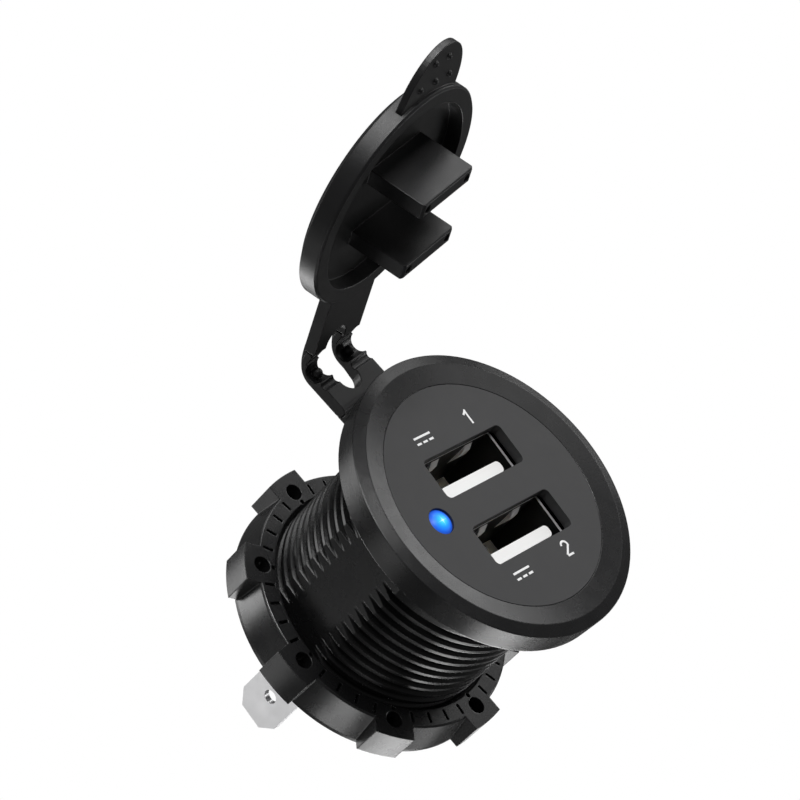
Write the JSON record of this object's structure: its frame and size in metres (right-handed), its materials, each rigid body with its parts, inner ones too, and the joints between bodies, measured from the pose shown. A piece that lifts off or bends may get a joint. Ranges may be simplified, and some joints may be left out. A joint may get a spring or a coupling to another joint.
{
  "type": "panel usb charging socket",
  "caption": "Round panel-mount USB power socket with a glowing indicator, push-on blades, a threaded barrel with ring nut and a tethered rubber cap.",
  "frame": {"origin": "centre of the barrel at the panel's front face, which the strap ring's rear face rests on", "axes": "+Z out of the panel towards the user, +Y up the face, +X to the right along the ports' long side"},
  "size_m": [0.0376, 0.0566, 0.085],
  "materials": {
    "housing": "satin moulded",
    "face": "fine satin",
    "print": "matt ink",
    "lens": "clear tinted, lit",
    "tinned_wire": "tinned",
    "shell": "bright plated",
    "white_insulator": "satin",
    "contact": "gold plated",
    "board": "lacquered",
    "post": "natural",
    "dark_insulator": "matt",
    "ferrite": "matt",
    "copper": "enamelled wire",
    "can": "sleeved",
    "blade": "tin plated",
    "strap": "matt moulded"
  },
  "bodies": {
    "socket": {"barrel_housing": "housing", "face_plate": "face", "port_marks": "print", "status_led": "lens", "led_leads": "tinned_wire", "usb_shell_upper": "shell", "usb_shell_lower": "shell", "usb_tongue_upper": "white_insulator", "usb_tongue_lower": "white_insulator", "usb_contacts_upper": "contact", "usb_contacts_lower": "contact", "front_board": "board", "power_board": "board", "board_posts": "post", "header_strip": "dark_insulator", "header_pins": "contact", "inductor_core": "ferrite", "inductor_winding": "copper", "input_capacitor": "can", "output_capacitor": "can", "converter_chip": "dark_insulator", "diode": "dark_insulator", "rear_cover": "housing", "terminal_positive": "blade", "terminal_negative": "blade", "strap_ring": "strap"},
    "nut": {"ring_nut": "housing"},
    "lower_strap": {"strap_link": "strap"},
    "cap": {"cap": "strap"}
  },
  "joints": [
    {"name": "nut_slide", "type": "slide", "parent": "socket", "child": "nut", "axis": [0, 0, 1], "range_m": [-0.0012, 0.0164]},
    {"name": "strap_flex", "type": "hinge", "parent": "socket", "child": "lower_strap", "pos_m": [-0.00259, 0.01842, 0.00075], "axis": [0.9903, 0.1392, 0], "range_deg": [-4, 46], "stiffness_Nm_per_rad": 0.05},
    {"name": "cap_hinge", "type": "hinge", "parent": "lower_strap", "child": "cap", "pos_m": [-0.00352, 0.02507, 0.00279], "axis": [0.9903, 0.1392, 0], "range_deg": [-30, 61], "stiffness_Nm_per_rad": 0.05}
  ]
}
